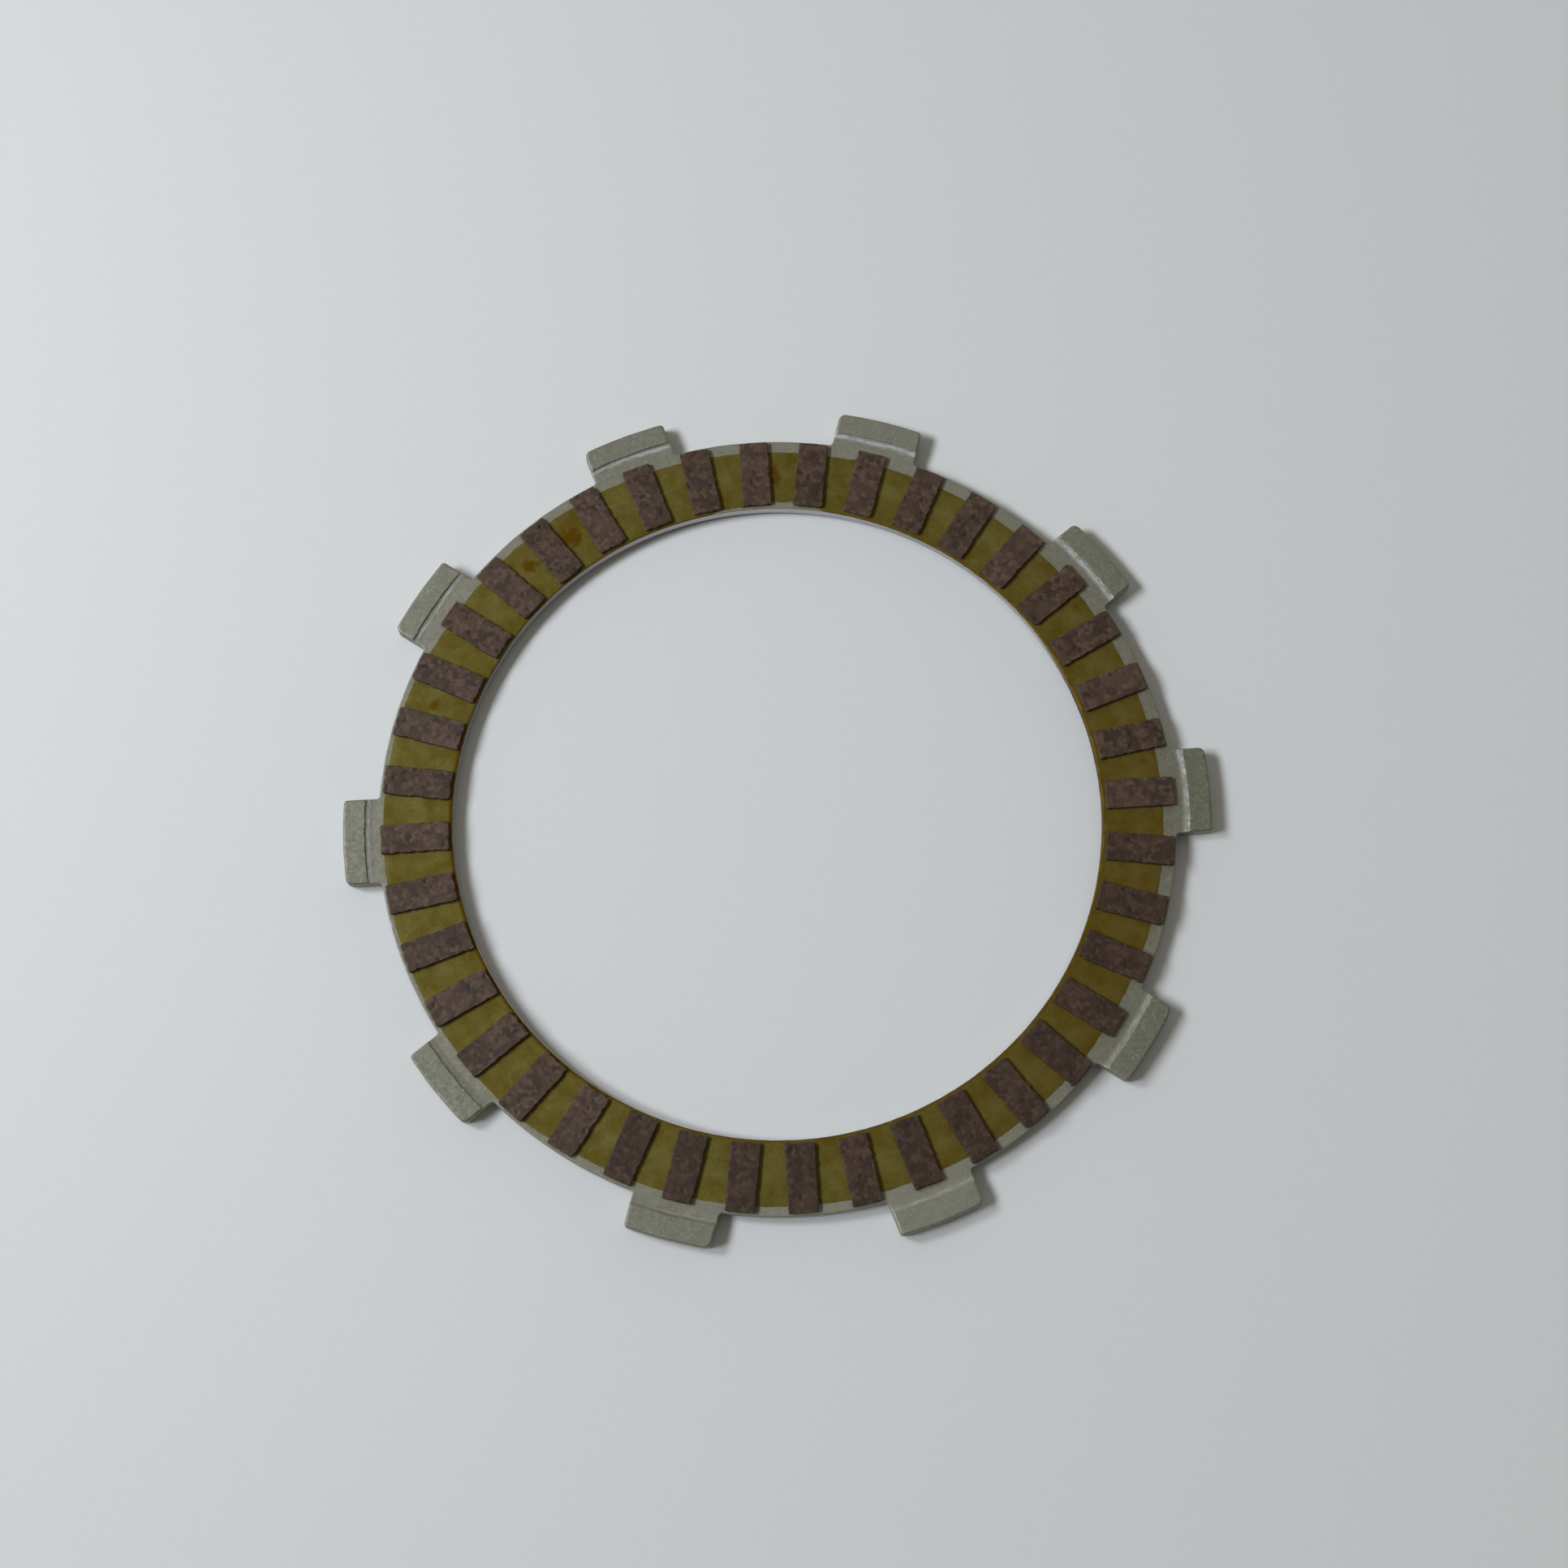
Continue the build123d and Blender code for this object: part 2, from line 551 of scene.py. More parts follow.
def bore_stain(vertices):
    """How much adhesive has run down the bore at each place."""
    angles = angles_of(vertices)
    from_right = apart(angles, RIGHT_STAIN_ANGLE)
    from_left = apart(angles, LEFT_STAIN_ANGLE)
    on_right = eased((RIGHT_STAIN_HALF - from_right) / RIGHT_STAIN_FADE)
    on_left = eased((LEFT_STAIN_HALF - from_left) / LEFT_STAIN_FADE)
    near_faces = eased(np.abs(vertices[:, 2]) / CORE_TOP * 1.3 - 0.2)
    return np.maximum(on_right, on_left * near_faces)


def painted_lug_light(vertices):
    """How much paler the skin is painted on each lug, as painted light."""
    lug_angles = np.arange(LUG_COUNT + 1) * 360 / LUG_COUNT
    lug_lights = LUG_PAINTED_LIGHT + LUG_PAINTED_LIGHT[:1]
    return np.interp(angles_of(vertices) % 360, lug_angles, lug_lights)


def casting_regions(mesh):
    """Each face's material: 0 on the ring, 1 on a lug block, 2 on an outer wall, 3 in the bore."""
    centres = np.zeros(3 * len(mesh.polygons))
    mesh.polygons.foreach_get("center", centres)
    centres = centres.reshape(-1, 3) / MM
    radii = np.hypot(centres[:, 0], centres[:, 1])
    normals = np.zeros(3 * len(mesh.polygons))
    mesh.polygons.foreach_get("normal", normals)
    region = np.where(radii > STEP_FOOT, 1, 0)
    region = np.where(np.abs(normals[2::3]) < 0.5, 2, region)
    return np.where(radii < BORE_RADIUS + BORE_INSETS[0], 3, region)


def make_casting():
    outline = casting_outline()
    margin = EDGE_INSETS[-1] + 0.4 * LUG_SPACING
    interior = inside_casting(ring_points(), outline, margin)
    bore = resampled(arc((0, 0), BORE_RADIUS, 0, 360)[:-1], 2 * OUTLINE_SPACING)
    slab = Slab(outline, EDGE_INSETS, interior, bore, BORE_INSETS)
    top = casting_face(slab, 1)
    bottom = -casting_face(slab, 11)
    vertices, faces = slab.solid(top, bottom, WALL_ROWS, cast_ruffle)
    vertices = wandered(vertices)
    mesh = make_mesh("core_casting", vertices, faces)
    set_attribute(mesh, "stain", bore_stain(vertices))
    # Painted light: the share by which some lugs' skin is painted paler
    set_attribute(mesh, "shade", painted_lug_light(vertices))
    materials = (
        cast_metal("ring_face", RING_TONES, with_burr_highlight=True),
        cast_metal("lug_block", LUG_TONES, with_burr_highlight=True),
        # The outer walls are painted lighter than the faces: painted light on walls that lie in
        # shade
        cast_metal("outer_wall_painted_light", WALL_TONES_WITH_PAINTED_LIGHT, with_burr_highlight=False),
        bore_metal(),
    )
    make_piece("core_casting", mesh, materials, "core_plate")
    mesh.polygons.foreach_set("material_index", casting_regions(mesh))


# ---------------------------------------------------------------- bonding film


def amber_share(places, radii, angles, seed):
    """How amber the film is at each point: spots on the face, and a line along its inner edge."""
    torn = 0.75 * ripple(places, 0.8, seed) + 0.45 * ripple(places, 2.1, seed + 1)
    share = np.zeros(len(radii))
    for angle, radius, across, outwards, strength in AMBER_SPOTS:
        x = radius * np.radians(angles - angle) / across
        y = (radii - radius) / outwards
        share = np.maximum(share, strength * eased((1.25 - np.hypot(x, y) + torn) * 1.6))
    on_left = eased(1.7 - apart(angles, FILM_LIP_ANGLE) / 30)
    lip = eased((FILM_INNER + 0.4 + 0.35 * on_left - radii) / 0.4 + 0.3 * torn)
    return np.maximum(share, lip * (0.75 + 0.25 * on_left))


def film_outer_edge(angles, around, seed):
    """The film's outer radius at each angle: a bulging circle, with tongues under the pads."""
    offset = FILM_OFFSET * np.cos(np.radians(angles - FILM_OFFSET_ANGLE))
    bulge = FILM_BULGE * eased((FILM_BULGE_HALF - apart(angles, FILM_BULGE_ANGLE)) / 9 + 0.5)
    torn = 0.1 * ripple(around, 1.6, seed) + 0.06 * ripple(around, 0.5, seed + 1)
    station = 360 / PAD_COUNT
    from_pad = np.abs((angles + station / 2) % station - station / 2)
    between_pads = FILM_RADIUS + offset + bulge + torn
    return np.where(from_pad < FILM_TONGUE_ANGLE, FILM_TONGUE_RADIUS, between_pads)


def film_inner_edge(angles, around, seed):
    """The film's inner radius at each angle: worn back at the top, with a notch where it flaked."""
    notch = eased(1.8 - apart(angles, FILM_NOTCH_ANGLE) / (FILM_NOTCH_WIDTH / 3.0))
    depth = (FILM_NOTCH_DEPTH + 0.3 * ripple(around, 0.9, seed + 3)) * notch
    offset = FILM_INNER_OFFSET * np.cos(np.radians(angles - FILM_INNER_OFFSET_ANGLE))
    worn = eased((FILM_WORN_HALF - apart(angles, FILM_WORN_ANGLE)) / 3 + 0.5)
    frayed = (FILM_WORN_DEPTH + 0.16 * ripple(around, 0.6, seed + 2)) * worn
    return FILM_INNER + offset + depth + frayed + 0.03 * ripple(around, 1.1, seed + 5)


def film_heights(places, radii, shares, seed):
    """Heights of the film's face and of its bed at places that lie those shares of the way out."""
    edge = eased(np.minimum(shares * 40, (1 - shares) * 20))
    relief = 0.006 * ripple(places, 0.9, seed + 3) + 0.006 * ripple(places, 2.5, seed + 4)
    bed = CORE_TOP - np.clip(BORE_RADIUS + BORE_CHAMFER - radii, 0, BORE_CHAMFER)
    thickness = (FILM_TOP - CORE_TOP) * (FILM_EDGE_SHARE + (1 - FILM_EDGE_SHARE) * edge)
    return bed + thickness + relief * edge, bed


def closed_grid(rows, columns):
    """Faces of a grid whose rows run round the disc and whose last row joins its first."""
    grid = np.arange(rows * columns).reshape(rows, columns)
    lines = np.vstack((grid, grid[:1]))
    quads = [
        np.column_stack((low, np.roll(low, -1), np.roll(high, -1), high))
        for low, high in zip(lines, lines[1:])
    ]
    return np.vstack(quads)


def make_film(name, node, side, seed):
    """The film on one face, +1 for the upper and -1 for the lower."""
    angles = np.arange(0, 360, FILM_COLUMN)
    count = len(angles)
    directions = np.column_stack((np.cos(np.radians(angles)), np.sin(np.radians(angles))))
    around = in_space(directions * RING_RADIUS, seed)
    outer = film_outer_edge(angles, around, seed)
    inner = film_inner_edge(angles, around, seed)
    shares = np.concatenate((FILM_LIP_SHARES, np.linspace(0, 1, FILM_ROWS)[1:]))
    radii = (inner[None, :] + (outer - inner)[None, :] * shares[:, None]).ravel()
    places = np.tile(directions, (len(shares), 1)) * radii[:, None]
    spots = in_space(places, seed)
    height, bed = film_heights(spots, radii, np.repeat(shares, count), seed)
    face = np.column_stack((places, side * height))
    rims = np.concatenate((np.arange(len(face) - count, len(face)), np.arange(count)))
    back = face[rims]
    back[:, 2] = side * (bed[rims] - FILM_SINK)
    faces = closed_grid(len(shares) + 2, count)[:, ::-side]
    mesh = make_mesh(name, np.vstack((face, back)), faces.tolist())
    amber = amber_share(spots, radii, np.tile(angles, len(shares)), seed)
    set_attribute(mesh, "amber", np.concatenate((amber, amber[rims])))
    make_piece(name, mesh, (film_material(),), node)


# ---------------------------------------------------------------- pads


def pad_relief(points, inset, draw):
    """Heights above the pad's plain face, and tones from -1 in a pit darkened with painted shade to
    1 on a pale flake.
    """
    seed = draw.uniform(0, 100)
    places = in_space(points, seed)
    tone = np.zeros(len(points))
    height = 0.018 * ripple(places, 0.7, 1) + 0.02 * ripple(places, 0.3, 2)
    for _ in range(draw.randint(*PAD_FLAKES)):
        flake = spot(points, draw, (0.25, 0.65), 1.3)
        tone = np.maximum(tone, flake * draw.uniform(0.3, 1.0))
        height += FLAKE_HEIGHT * flake
    for _ in range(draw.randint(*PAD_PATCHES)):
        patch = spot(points, draw, (0.3, 0.6), 1.3)
        tone = np.minimum(tone, -patch * draw.uniform(0.4, 0.7))
    for _ in range(draw.randint(*PAD_PITS)):
        pit = spot(points, draw, (0.13, 0.26), 1.4)
        height -= PIT_DEPTH * pit
        # Painted shade: each pit is darkened in its tone
        tone = tone * (1 - pit) - 0.9 * pit
    return np.minimum(height - PAD_SINK, 0) - rounding(inset, PAD_EDGE_ROUNDING), tone


def spot(points, draw, sizes, reach):
    """A ragged, stretched spot at a random place on a pad: 1 inside it, 0 outside."""
    centre = [draw.uniform(-half, half) for half in SPOT_RANGE]
    size, stretch, seed = draw.uniform(*sizes), draw.uniform(1.0, 2.2), draw.uniform(0, 100)
    across = turned(points - centre, draw.uniform(0, 180)) / (size * stretch, size)
    ragged = 0.4 * ripple(in_space(points, seed), 0.45, 1)
    return eased((reach - np.hypot(*across.T) + ragged) * 2.6)


def chipped(vertices, length, seed):
    """A pad's points with its edges bitten into here and there."""
    x, y = vertices[:, 0], vertices[:, 1]
    bite = PAD_BITE * eased((ripple(in_space(vertices[:, :2], seed), 0.8, 6) - 0.05) / 0.4)
    bite += 0.02 * ripple(in_space(vertices[:, :2], seed), 0.25, 7)
    near_end = eased(1 - (length / 2 - np.abs(x)) / PAD_BITE_REACH)
    near_side = eased(1 - (PAD_WIDTH / 2 - np.abs(y)) / PAD_BITE_REACH)
    moved = vertices.copy()
    moved[:, 0] -= np.sign(x) * bite * near_end
    moved[:, 1] -= np.sign(y) * bite * near_side
    return moved


def pad_shade(number):
    """How much lighter a pad is than most."""
    from_dark = abs((number - 1) * 360 / PAD_COUNT - DARK_PADS_ANGLE)
    darkness = float(eased((DARK_PADS_HALF - from_dark) / 14 + 0.5))
    return 0.25 * math.sin(number * 2.4) - 0.9 * darkness


def pad_body(slab, draw, angle):
    """One pad on the upper face, at that angle around the disc: its vertices, faces and tones."""
    relief, tone = pad_relief(slab.points, slab.inset, draw)
    seed = draw.uniform(0, 100)
    base = np.full(len(relief), FILM_TOP)

    def ruffle(places):
        return 0.03 * ripple(places, 0.35, seed)

    vertices, faces = slab.solid(PAD_TOP + relief, base, PAD_WALL_ROWS, ruffle)
    vertices = chipped(vertices, PAD_OUTER - PAD_INNER, seed)
    wobble = in_space(vertices[:, :2], seed)
    for axis, shift in enumerate(PAD_SHIFTS):
        vertices[:, axis] += shift * ripple(wobble, 1.5, 3 + axis) + draw.uniform(-shift, shift)
    middle = ((PAD_INNER + PAD_OUTER) / 2, 0)
    placed = turned(vertices[:, :2], draw.uniform(-PAD_TURN, PAD_TURN)) + middle
    vertices[:, :2] = turned(placed, angle)
    tones = np.zeros(len(vertices))
    tones[: len(tone)] = tone
    return vertices, faces, tones


def make_pad_pair(number, slab, material):
    """The upper and the lower pad of one station, each with its own grain."""
    draw = random.Random(number)
    solids, tones, all_faces = [], [], []
    total = 0
    for side in (1, -1):
        vertices, faces, pad_tones = pad_body(slab, draw, (number - 1) * 360 / PAD_COUNT)
        vertices[:, 2] *= side
        solids.append(vertices)
        tones.append(pad_tones)
        all_faces.extend([corner + total for corner in face[::side]] for face in faces)
        total += len(vertices)
    name = f"pad_pair_{number:02d}"
    mesh = make_mesh(name, np.vstack(solids), all_faces)
    set_attribute(mesh, "tone", np.concatenate(tones))
    set_attribute(mesh, "shade", np.full(total, pad_shade(number)))
    make_piece(name, mesh, (material,), f"friction_pads_{number:02d}")


def make_pads():
    length = PAD_OUTER - PAD_INNER
    outline = resampled(rounded_rectangle(length, PAD_WIDTH, PAD_CORNER), PAD_SPACING)
    interior = grid_points(length, PAD_WIDTH, PAD_SPACING, PAD_INSETS[-1] + 0.6 * PAD_SPACING)
    slab = Slab(outline, PAD_INSETS, interior)
    material = pad_material()
    for number in range(1, PAD_COUNT + 1):
        make_pad_pair(number, slab, material)


# ---------------------------------------------------------------- materials


def linear(red, green, blue):
    """A colour given as 0 to 255 display values, as the linear values that sockets take."""
    shares = (channel / 255 for channel in (red, green, blue))
    return (*((s / 12.92 if s <= 0.04045 else ((s + 0.055) / 1.055) ** 2.4) for s in shares), 1)


class Nodes:
    """A material's node tree, built one node at a time."""

    def __init__(self, name):
        self.material = bpy.data.materials.new(name)
        self.material.use_nodes = True
        self.tree = self.material.node_tree
        self.shader = self.tree.nodes["Principled BSDF"]
        self.place = self.add("ShaderNodeTexCoord").outputs["Object"]

    def add(self, kind, inputs=None, **settings):
        """A node with its settings, and inputs that are values or other nodes' outputs."""
        node = self.tree.nodes.new(kind)
        for key, value in settings.items():
            setattr(node, key, value)
        self.connect(node, inputs or {})
        return node

    def connect(self, node, inputs):
        for key, value in inputs.items():
            if isinstance(value, bpy.types.NodeSocket):
                self.tree.links.new(value, node.inputs[key])
            else:
                node.inputs[key].default_value = value

    def noise(self, size, detail=3.0, roughness=0.55, place=None):
        """Noise from 0 to 1 with features of that size in millimetres."""
        inputs = {"Vector": place or self.place, "Scale": 1 / (size * MM), "Detail": detail}
        return self.add("ShaderNodeTexNoise", {**inputs, "Roughness": roughness}).outputs["Fac"]

    def warped(self, size, reach):
        """The place on the piece, shifted by up to about that reach by noise of that size."""
        inputs = {"Vector": self.place, "Scale": 1 / (size * MM), "Detail": 2.0}
        shift = self.add("ShaderNodeTexNoise", inputs).outputs["Color"]
        inputs = {0: shift, 1: (reach * MM,) * 3, 2: self.place}
        return self.add("ShaderNodeVectorMath", inputs, operation="MULTIPLY_ADD").outputs["Vector"]

    def slanted(self, angle, length, width):
        """The place turned about the axis and scaled, so that noise of size 1 draws streaks."""
        inputs = {"Vector": self.place, "Rotation": (0, 0, math.radians(angle))}
        turned_place = self.add("ShaderNodeMapping", inputs).outputs["Vector"]
        inputs = {"Vector": turned_place, "Scale": (1 / length, 1 / width, 1 / width)}
        return self.add("ShaderNodeMapping", inputs).outputs["Vector"]

    def radius(self, middle=(0, 0)):
        """The distance in millimetres from an upright axis through that point."""
        inputs = {0: self.place, 1: (1 / MM, 1 / MM, 0), 2: (-middle[0], -middle[1], 0)}
        flat = self.add("ShaderNodeVectorMath", inputs, operation="MULTIPLY_ADD").outputs["Vector"]
        return self.add("ShaderNodeVectorMath", {0: flat}, operation="LENGTH").outputs["Value"]

    def along(self, angle):
        """How far out a place lies in that direction, as a share of the ring's radius."""
        inputs = {0: self.place, 1: direction_of(angle, 0) / (RING_RADIUS * MM)}
        return self.add("ShaderNodeVectorMath", inputs, operation="DOT_PRODUCT").outputs["Value"]

    def times(self, first, second):
        """Two values' product."""
        return self.add("ShaderNodeMath", {0: first, 1: second}, operation="MULTIPLY").outputs[0]

    def sum(self, first, second, scale=1.0):
        """One value plus another times a scale."""
        inputs = {0: second, 1: scale, 2: first}
        return self.add("ShaderNodeMath", inputs, operation="MULTIPLY_ADD").outputs[0]

    def cells(self, size, place=None):
        """A random grey from 0 to 1 for each cell of that size in millimetres."""
        inputs = {"Vector": place or self.place, "Scale": 1 / (size * MM), "Randomness": 1.0}
        colour = self.add("ShaderNodeTexVoronoi", inputs, feature="F1").outputs["Color"]
        return self.add("ShaderNodeSeparateColor", {"Color": colour}).outputs["Red"]

    def ramp(self, value, low, high, start=0.0, end=1.0):
        """A value stretched so that low becomes start and high becomes end."""
        inputs = {"Value": value, "From Min": low, "From Max": high, "To Min": start, "To Max": end}
        return self.add("ShaderNodeMapRange", inputs).outputs["Result"]

    def mixed(self, share, first, second):
        """One colour turning into another with the share."""
        node = self.add("ShaderNodeMix", data_type="RGBA")
        self.connect(node, {0: share, 6: first, 7: second})
        return node.outputs[2]

    def attribute(self, name):
        """The number that the mesh holds for each vertex under that name."""
        return self.add("ShaderNodeAttribute", attribute_name=name).outputs["Fac"]

    def bump(self, height, distance):
        """A normal for relief of that height, in millimetres where the value is 1."""
        inputs = {"Height": height, "Distance": distance * MM, "Strength": 1.0}
        return self.add("ShaderNodeBump", inputs).outputs["Normal"]

    def finish(self, **inputs):
        """The material, with its shader's sockets set."""
        self.connect(self.shader, {key.replace("_", " "): value for key, value in inputs.items()})
        return self.material


# Colours of the cast skin and the burr. The walls' tones are lightened with painted light, the paler
# skin is painted light on some lugs, and the burr's tone and glint carry a painted highlight.
RING_TONES = (linear(124, 123, 110), linear(138, 137, 126))
LUG_TONES = (linear(118, 118, 105), linear(136, 137, 125))
WALL_TONES_WITH_PAINTED_LIGHT = (linear(136, 137, 126), linear(150, 151, 141))
PAINTED_LUG_LIGHT_TONE = linear(156, 156, 147)
FLECK_TONE = linear(172, 172, 158)
SCRATCH_TONE = linear(180, 181, 172)
BURR_TONE_AND_SHEEN = linear(154, 153, 150)
BURR_PAINTED_GLINT = linear(181, 180, 186)

# Colours of the machined bore, with its painted reflection and its adhesive stain
BORE_TONES = (linear(153, 153, 154), linear(173, 172, 175))
BORE_PAINTED_REFLECTION = linear(216, 212, 218)
BORE_STAIN = linear(74, 60, 26)

# Colours of the film: its clouds, its dark grain, where it is thin and where it is thick
FILM_TONES = (linear(89, 75, 13), linear(105, 97, 43))
FILM_GRAIN = linear(75, 66, 12)
FILM_THIN = linear(110, 104, 58)
AMBER = linear(88, 63, 3)

# Colours of the pads: the compound, its chips and dust, the flakes and dark patches that stand out,
# the painted shade in its pits, and what turns a whole pad lighter or darker
PAD_TONES = (linear(47, 32, 21), linear(73, 54, 42))
PALE_CHIP = linear(104, 83, 71)
DARK_CHIP = linear(34, 22, 14)
PAD_DUST = linear(44, 30, 20)
PALE_FLAKE = linear(110, 89, 76)
DARK_PATCH_AND_PIT_SHADE = linear(24, 16, 11)
LIGHT_PAD = linear(90, 73, 63)
DARK_PAD = linear(36, 18, 6)

PAPER_TONES = (linear(199, 201, 204), linear(202, 204, 207))


def cast_metal(name, tones, with_burr_highlight):
    """Die-cast aluminium: a grey, slightly yellow skin with speckles, flecks and scratches, painted
    paler on some lugs as painted light.
    """
    nodes = Nodes(name)
    dark, light = tones
    speckle = nodes.ramp(nodes.noise(0.55, 3), 0.35, 0.65)
    cloudy = nodes.ramp(nodes.noise(2.6, 3), 0.35, 0.65)
    tone = nodes.mixed(speckle, dark, light)
    tone = nodes.mixed(nodes.ramp(cloudy, 0, 1, 0, 0.5), tone, dark)
    flecks = nodes.ramp(nodes.noise(0.4, 1), 0.66, 0.74, 0, 0.55)
    tone = nodes.mixed(flecks, tone, FLECK_TONE)
    streaks = nodes.noise(1, 2, place=nodes.slanted(-38, 3.2, 0.22))
    scratches = nodes.ramp(streaks, 0.69, 0.76, 0, 0.5)
    tone = nodes.mixed(scratches, tone, SCRATCH_TONE)
    # Painted light: the skin is painted paler on some lugs, by the share the mesh holds as shade
    tone = nodes.mixed(nodes.attribute("shade"), tone, PAINTED_LUG_LIGHT_TONE)
    # The burr's brightness is partly a painted highlight
    if with_burr_highlight:
        tone = burr_with_painted_highlight(nodes, tone)
    rough = nodes.ramp(nodes.noise(0.9), 0.3, 0.7, 0.6, 0.72)
    normal = nodes.bump(nodes.noise(0.3, 3), 0.007)
    return nodes.finish(Base_Color=tone, Metallic=1.0, Roughness=rough, Normal=normal)


def burr_with_painted_highlight(nodes, tone):
    """A tone with the ragged burr that the turning tool has left below each step, bright partly from
    its burnished tone and partly from a painted highlight and glint.

    The tool ran slightly off centre, and its burr is wider on the right.
    """
    middle = BURR_OFFSET * direction_of(BURR_OFFSET_ANGLE, 0)
    wander = nodes.sum(nodes.radius(middle), nodes.noise(3.0, 2), BURR_WANDER)
    inputs = {0: wander, 1: BURR_RADIUS + BURR_WANDER / 2}
    offset = nodes.add("ShaderNodeMath", inputs, operation="SUBTRACT")
    distance = nodes.add("ShaderNodeMath", {0: offset.outputs[0]}, operation="ABSOLUTE").outputs[0]
    widening = nodes.ramp(nodes.along(BURR_WIDE_ANGLE), 0.1, 1.0, 0, -0.14)
    distance = nodes.sum(distance, widening)
    # Painted highlight: the burr is left faint or out where the light does not catch it
    where_lit = nodes.ramp(nodes.along(BURR_UNLIT_ANGLE), 0.8, 0.97, 1, 0.1)
    where_lit = nodes.times(where_lit, nodes.ramp(nodes.along(BURR_DIM_ANGLE), -0.4, 1.0, 1, 0.42))
    share = nodes.ramp(nodes.sum(distance, nodes.noise(0.9, 4, 0.65), 1.1), 0.72, 0.96, 0.9, 0)
    tone = nodes.mixed(nodes.times(share, where_lit), tone, BURR_TONE_AND_SHEEN)
    # A painted glint along the middle of the burr
    painted_glint = nodes.ramp(nodes.sum(distance, nodes.noise(1.6, 3, 0.6), 0.9), 0.44, 0.54, 0.9, 0)
    return nodes.mixed(nodes.times(painted_glint, where_lit), tone, BURR_PAINTED_GLINT)


def bore_metal():
    """The machined bore: plain aluminium, with a painted reflection that makes it palest at the top,
    and adhesive that has run down it.
    """
    nodes = Nodes("bore_wall")
    rough = nodes.ramp(nodes.noise(0.5), 0.3, 0.7, 0.55, 0.68)
    tone = nodes.mixed(nodes.noise(0.8), *BORE_TONES)
    # Painted reflection: the bore is painted paler towards the top
    tone = nodes.mixed(nodes.ramp(nodes.along(BORE_PAINTED_REFLECTION_ANGLE), 0.68, 0.8, 0, 0.65), tone, BORE_PAINTED_REFLECTION)
    run = nodes.ramp(nodes.sum(nodes.attribute("stain"), nodes.noise(0.8, 3), 0.5), 0.75, 1.2)
    tone = nodes.mixed(run, tone, BORE_STAIN)
    normal = nodes.bump(nodes.noise(0.12), 0.003)
    return nodes.finish(Base_Color=tone, Metallic=0.6, Roughness=rough, Normal=normal)


def film_material():
    """Cured adhesive, a tinted lacquer over the metal: olive clouds, amber where it is thick."""
    nodes = Nodes("bond_film")
    clouds = nodes.ramp(nodes.noise(2.4, 3, 0.6), 0.34, 0.66)
    grain = nodes.ramp(nodes.noise(0.45, 3, 0.6), 0.3, 0.7)
    tone = nodes.mixed(clouds, *FILM_TONES)
    tone = nodes.mixed(nodes.ramp(grain, 0, 1, 0, 0.55), tone, FILM_GRAIN)
    middle = nodes.ramp(nodes.radius(), 50.2, 52.3, 0, 1)
    past = nodes.ramp(nodes.radius(), 52.6, 54.4, 1, 0.25)
    patches = nodes.ramp(nodes.noise(3.5, 2), 0.35, 0.6, 0, 0.5)
    tone = nodes.mixed(nodes.times(nodes.times(middle, past), patches), tone, FILM_THIN)
    tone = nodes.mixed(nodes.ramp(nodes.along(FILM_BROWN_ANGLE), 0.35, 0.9, 0, 0.4), tone, AMBER)
    spots = nodes.attribute("amber")
    tone = nodes.mixed(spots, tone, AMBER)
    metallic = nodes.ramp(spots, 0, 1, 0.55, 0.85)
    rough = nodes.ramp(nodes.noise(1.5), 0.3, 0.7, 0.56, 0.68)
    normal = nodes.bump(nodes.noise(0.5, 2), 0.006)
    return nodes.finish(
        Base_Color=tone,
        Metallic=metallic,
        Roughness=rough,
        Specular_IOR_Level=0.25,
        Normal=normal,
    )


def pad_material():
    """Cork and rubber compound: brown, dull, of torn flakes in several tones, with dark patches and
    pits darkened by painted shade.
    """
    nodes = Nodes("friction_compound")
    flakes = nodes.cells(1.25, nodes.warped(0.6, 0.7))
    chips = nodes.cells(0.65, nodes.warped(0.4, 0.4))
    fine = nodes.ramp(nodes.noise(0.25, 3, 0.65), 0.3, 0.7)
    tone = nodes.mixed(flakes, *PAD_TONES)
    tone = nodes.mixed(nodes.ramp(chips, 0.65, 0.9, 0, 0.4), tone, PALE_CHIP)
    tone = nodes.mixed(nodes.ramp(chips, 0.05, 0.2, 0.6, 0), tone, DARK_CHIP)
    tone = nodes.mixed(nodes.ramp(fine, 0, 1, 0, 0.25), tone, PAD_DUST)
    grain = nodes.attribute("tone")
    tone = nodes.mixed(nodes.ramp(grain, 0, 1, 0, 0.62), tone, PALE_FLAKE)
    # Dark patches take their own dark tone here, and pits a painted shade
    tone = nodes.mixed(nodes.ramp(grain, 0, -1, 0, 0.85), tone, DARK_PATCH_AND_PIT_SHADE)
    shade = nodes.attribute("shade")
    tone = nodes.mixed(nodes.ramp(shade, 0, 1, 0, 0.4), tone, LIGHT_PAD)
    tone = nodes.mixed(nodes.ramp(shade, 0, -1, 0, 0.45), tone, DARK_PAD)
    rough = nodes.ramp(fine, 0, 1, 0.5, 0.62)
    normal = nodes.bump(nodes.noise(0.2, 3), 0.012)
    return nodes.finish(Base_Color=tone, Roughness=rough, Specular_IOR_Level=0.35, Normal=normal)


def floor_material():
    """Plain pale paper."""
    nodes = Nodes("pale_paper")
    tone = nodes.mixed(nodes.noise(1.2, 4), *PAPER_TONES)
    normal = nodes.bump(nodes.noise(0.6, 3), 0.006)
    return nodes.finish(Base_Color=tone, Roughness=0.85, Specular_IOR_Level=0.2, Normal=normal)


# ---------------------------------------------------------------- floor, light and camera

FLOOR_SIZE = 4000.0

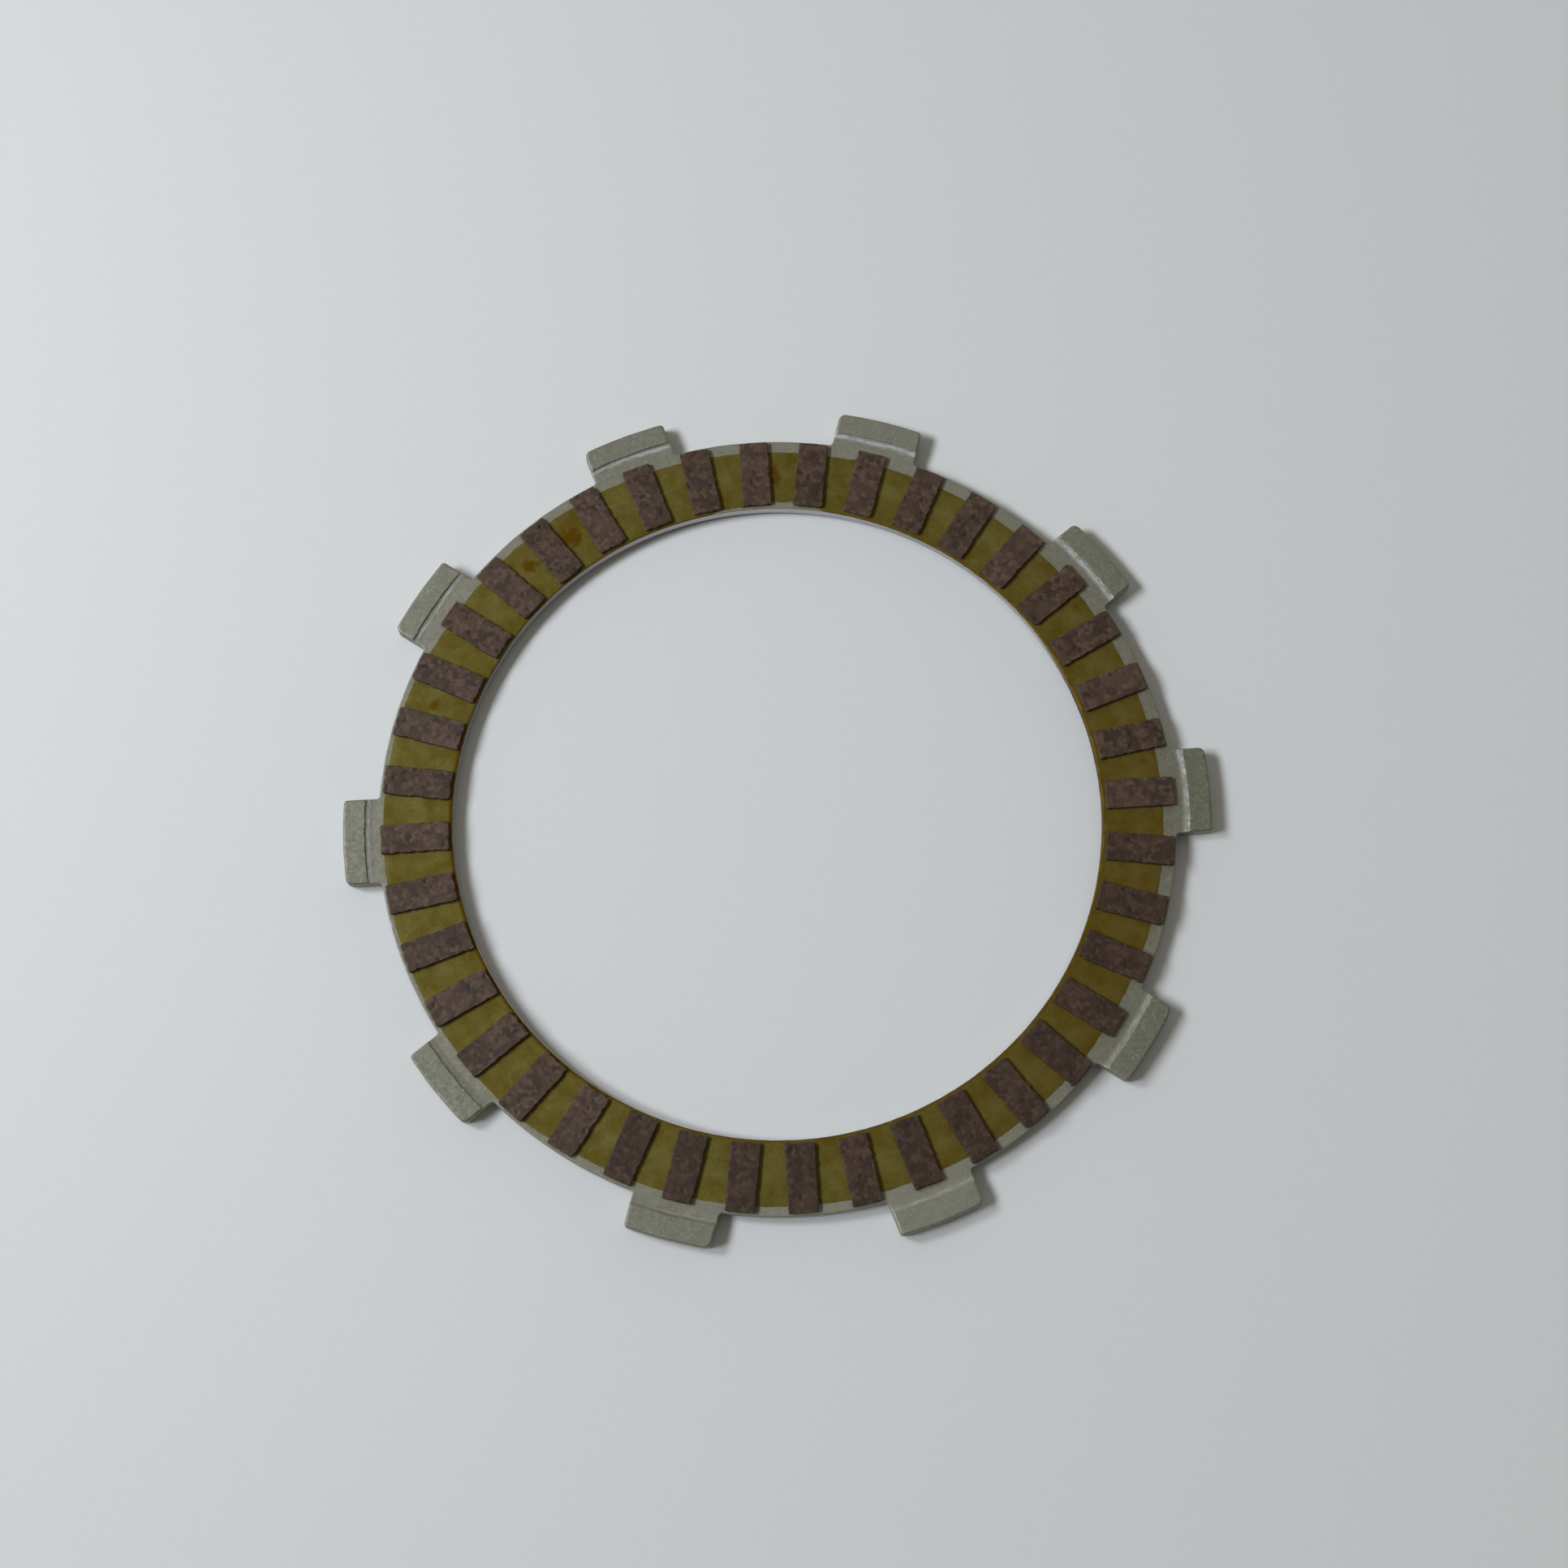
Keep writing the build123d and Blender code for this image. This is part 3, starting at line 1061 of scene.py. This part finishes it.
# The key light and its shares
KEY_ELEVATION = 44.7
KEY_SPREAD = 16.0
NEAR_KEY_AZIMUTH = 164.0
NEAR_KEY_SHARE = 0.36
NEAR_KEY_DISTANCE = 500.0
FAR_KEY_AZIMUTH = 186.0
FAR_KEY_SHARE = 0.36
KEY_TINT = (0.965, 1.0, 1.03)

# The room around the disc
WALL_GLOW = 0.9
CEILING_GLOW = 0.235
BRIGHT_WALL_AZIMUTH = 30.0
BRIGHT_WALL_GAIN = 0.55
DARK_CORNER_AZIMUTH = 325.0
DARK_CORNER_GLOW = 0.12
ROOM_TINT = (1.07, 1.02, 0.87, 1)

# The camera, as solved from the lugs' corners and the bore in the photo
CAMERA_PLACE = (-6.651, -102.464, 410.870)
CAMERA_TURN = (14.682, -0.123, -3.720)
CAMERA_LENS = 67.12


def make_floor():
    half = FLOOR_SIZE / 2
    level = cad_low.z / MM
    signs = ((-1, -1), (1, -1), (1, 1), (-1, 1))
    corners = np.array([(x * half, y * half, level) for x, y in signs])
    mesh = make_mesh("floor", corners, [(0, 1, 2, 3)])
    make_object("floor", mesh, (floor_material(),))


def add_lamp(light, azimuth, elevation, distance):
    """A lamp that shines on the origin from that direction and distance."""
    direction = direction_of(azimuth, elevation)
    lamp = bpy.data.objects.new(light.name, light)
    lamp.location = direction * distance
    lamp.rotation_euler = direction.to_track_quat("Z", "Y").to_euler()
    bpy.context.scene.collection.objects.link(lamp)


def make_key_lights():
    """A broad key from the left: a far part that lights evenly and a near part that falls off.

    A share of 1 is the light that shows a level surface in just the colour it has.
    """
    slant = math.sin(math.radians(KEY_ELEVATION))
    distance = NEAR_KEY_DISTANCE * MM
    far = bpy.data.lights.new("far_key", "SUN")
    far.angle = math.radians(KEY_SPREAD)
    far.energy = math.pi * FAR_KEY_SHARE / slant
    far.color = KEY_TINT
    add_lamp(far, FAR_KEY_AZIMUTH, KEY_ELEVATION, distance)
    near = bpy.data.lights.new("near_key", "AREA")
    near.shape = "DISK"
    near.size = 2 * distance * math.tan(math.radians(KEY_SPREAD / 2))
    near.energy = math.pi**2 * distance**2 * NEAR_KEY_SHARE / slant
    near.color = KEY_TINT
    add_lamp(near, NEAR_KEY_AZIMUTH, KEY_ELEVATION, distance)


def make_world():
    """A room with pale walls, brightest at the upper right, a dark corner and a dim ceiling."""
    world = bpy.data.worlds.new("room")
    bpy.context.scene.world = world
    world.use_nodes = True
    tree = world.node_tree
    background = tree.nodes["Background"]
    place = tree.nodes.new("ShaderNodeTexCoord").outputs["Generated"]
    glow = add_range(tree, towards(tree, place, 0, 90), (0.2, 0.5), (WALL_GLOW, CEILING_GLOW))
    gains = (1 - BRIGHT_WALL_GAIN, 1 + BRIGHT_WALL_GAIN)
    gain = add_range(tree, towards(tree, place, BRIGHT_WALL_AZIMUTH, 0), (-1, 1), gains)
    near_corner = towards(tree, place, DARK_CORNER_AZIMUTH, 0)
    corner = add_range(tree, near_corner, (0.3, 0.9), (1, DARK_CORNER_GLOW))
    strength = add_product(tree, add_product(tree, glow, gain), corner)
    tree.links.new(strength, background.inputs["Strength"])
    background.inputs["Color"].default_value = ROOM_TINT


def towards(tree, direction, azimuth, elevation):
    """How closely a direction points towards that azimuth and elevation, from -1 to 1."""
    node = tree.nodes.new("ShaderNodeVectorMath")
    node.operation = "DOT_PRODUCT"
    node.inputs[1].default_value = direction_of(azimuth, elevation)
    tree.links.new(direction, node.inputs[0])
    return node.outputs["Value"]


def add_product(tree, first, second):
    """Two values multiplied."""
    node = tree.nodes.new("ShaderNodeMath")
    node.operation = "MULTIPLY"
    tree.links.new(first, node.inputs[0])
    tree.links.new(second, node.inputs[1])
    return node.outputs[0]


def add_range(tree, value, before, after):
    """A value stretched from one range to another."""
    node = tree.nodes.new("ShaderNodeMapRange")
    tree.links.new(value, node.inputs["Value"])
    for key, number in zip(("From Min", "From Max", "To Min", "To Max"), (*before, *after)):
        node.inputs[key].default_value = number
    return node.outputs["Result"]


def make_camera():
    camera = bpy.data.cameras.new("camera")
    camera.lens = CAMERA_LENS
    camera.clip_start = 0.01
    camera.clip_end = 10
    stand = bpy.data.objects.new("camera", camera)
    stand.location = Vector(CAMERA_PLACE) * MM
    stand.rotation_euler = Euler([math.radians(angle) for angle in CAMERA_TURN])
    bpy.context.scene.collection.objects.link(stand)
    bpy.context.scene.camera = stand


make_camera()
make_casting()
make_film("film_top", "bond_film_top", 1, 3)
make_film("film_bottom", "bond_film_bottom", -1, 23)
make_pads()
make_floor()
make_key_lights()
make_world()
bpy.context.scene.view_settings.view_transform = "Standard"
bpy.context.view_layer.update()
